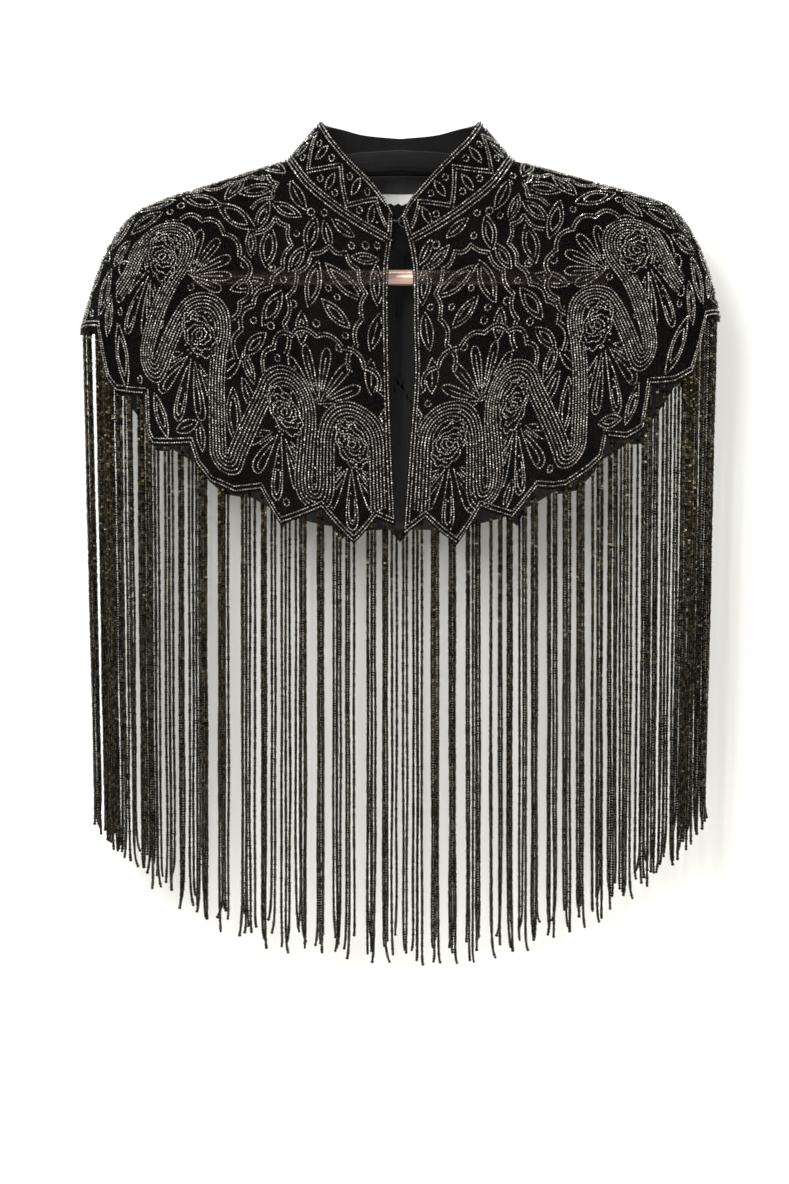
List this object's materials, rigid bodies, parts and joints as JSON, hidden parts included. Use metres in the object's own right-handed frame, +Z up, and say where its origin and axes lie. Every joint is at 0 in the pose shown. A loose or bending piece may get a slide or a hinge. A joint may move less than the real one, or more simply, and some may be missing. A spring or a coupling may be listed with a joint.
{
  "type": "cape on a hanger",
  "caption": "Short beaded net cape with a stand collar, an open front, a scalloped hem and a long bead fringe, hung on a slim hanger with a trouser rod.",
  "frame": {"origin": "top centre of the hanger's arms, where its hook screws in, inside the back of the collar", "axes": "+Z up, front of the cape towards -Y, +X to the right when the front is seen"},
  "size_m": [0.576, 0.1181, 0.7537],
  "materials": {
    "beaded_net": "sheer black net closely sewn with grey and gunmetal glass beads",
    "satin": "black satin, semi-matte",
    "fringe_beads": "strands of small bronze-black glass beads",
    "label_tape": "plain woven tape, bare",
    "black_metal": "black lacquered wire and plate",
    "hanger_arms": "black satin lacquer",
    "trouser_rod": "satin rose copper colour"
  },
  "bodies": {
    "root": {"front_left": "beaded_net", "front_right": "beaded_net", "back": "beaded_net", "back_lining": "satin", "collar": "beaded_net", "collar_facing": "satin", "neck_label": "label_tape", "closure_hook": "black_metal", "closure_eye": "black_metal", "fringe_front_left": "fringe_beads", "fringe_front_right": "fringe_beads", "fringe_back_left": "fringe_beads", "fringe_back_right": "fringe_beads", "hanger_arm_left": "hanger_arms", "hanger_arm_right": "hanger_arms", "hanger_rod": "trouser_rod", "rod_bracket_left": "black_metal", "rod_bracket_right": "black_metal"}
  },
  "joints": []
}
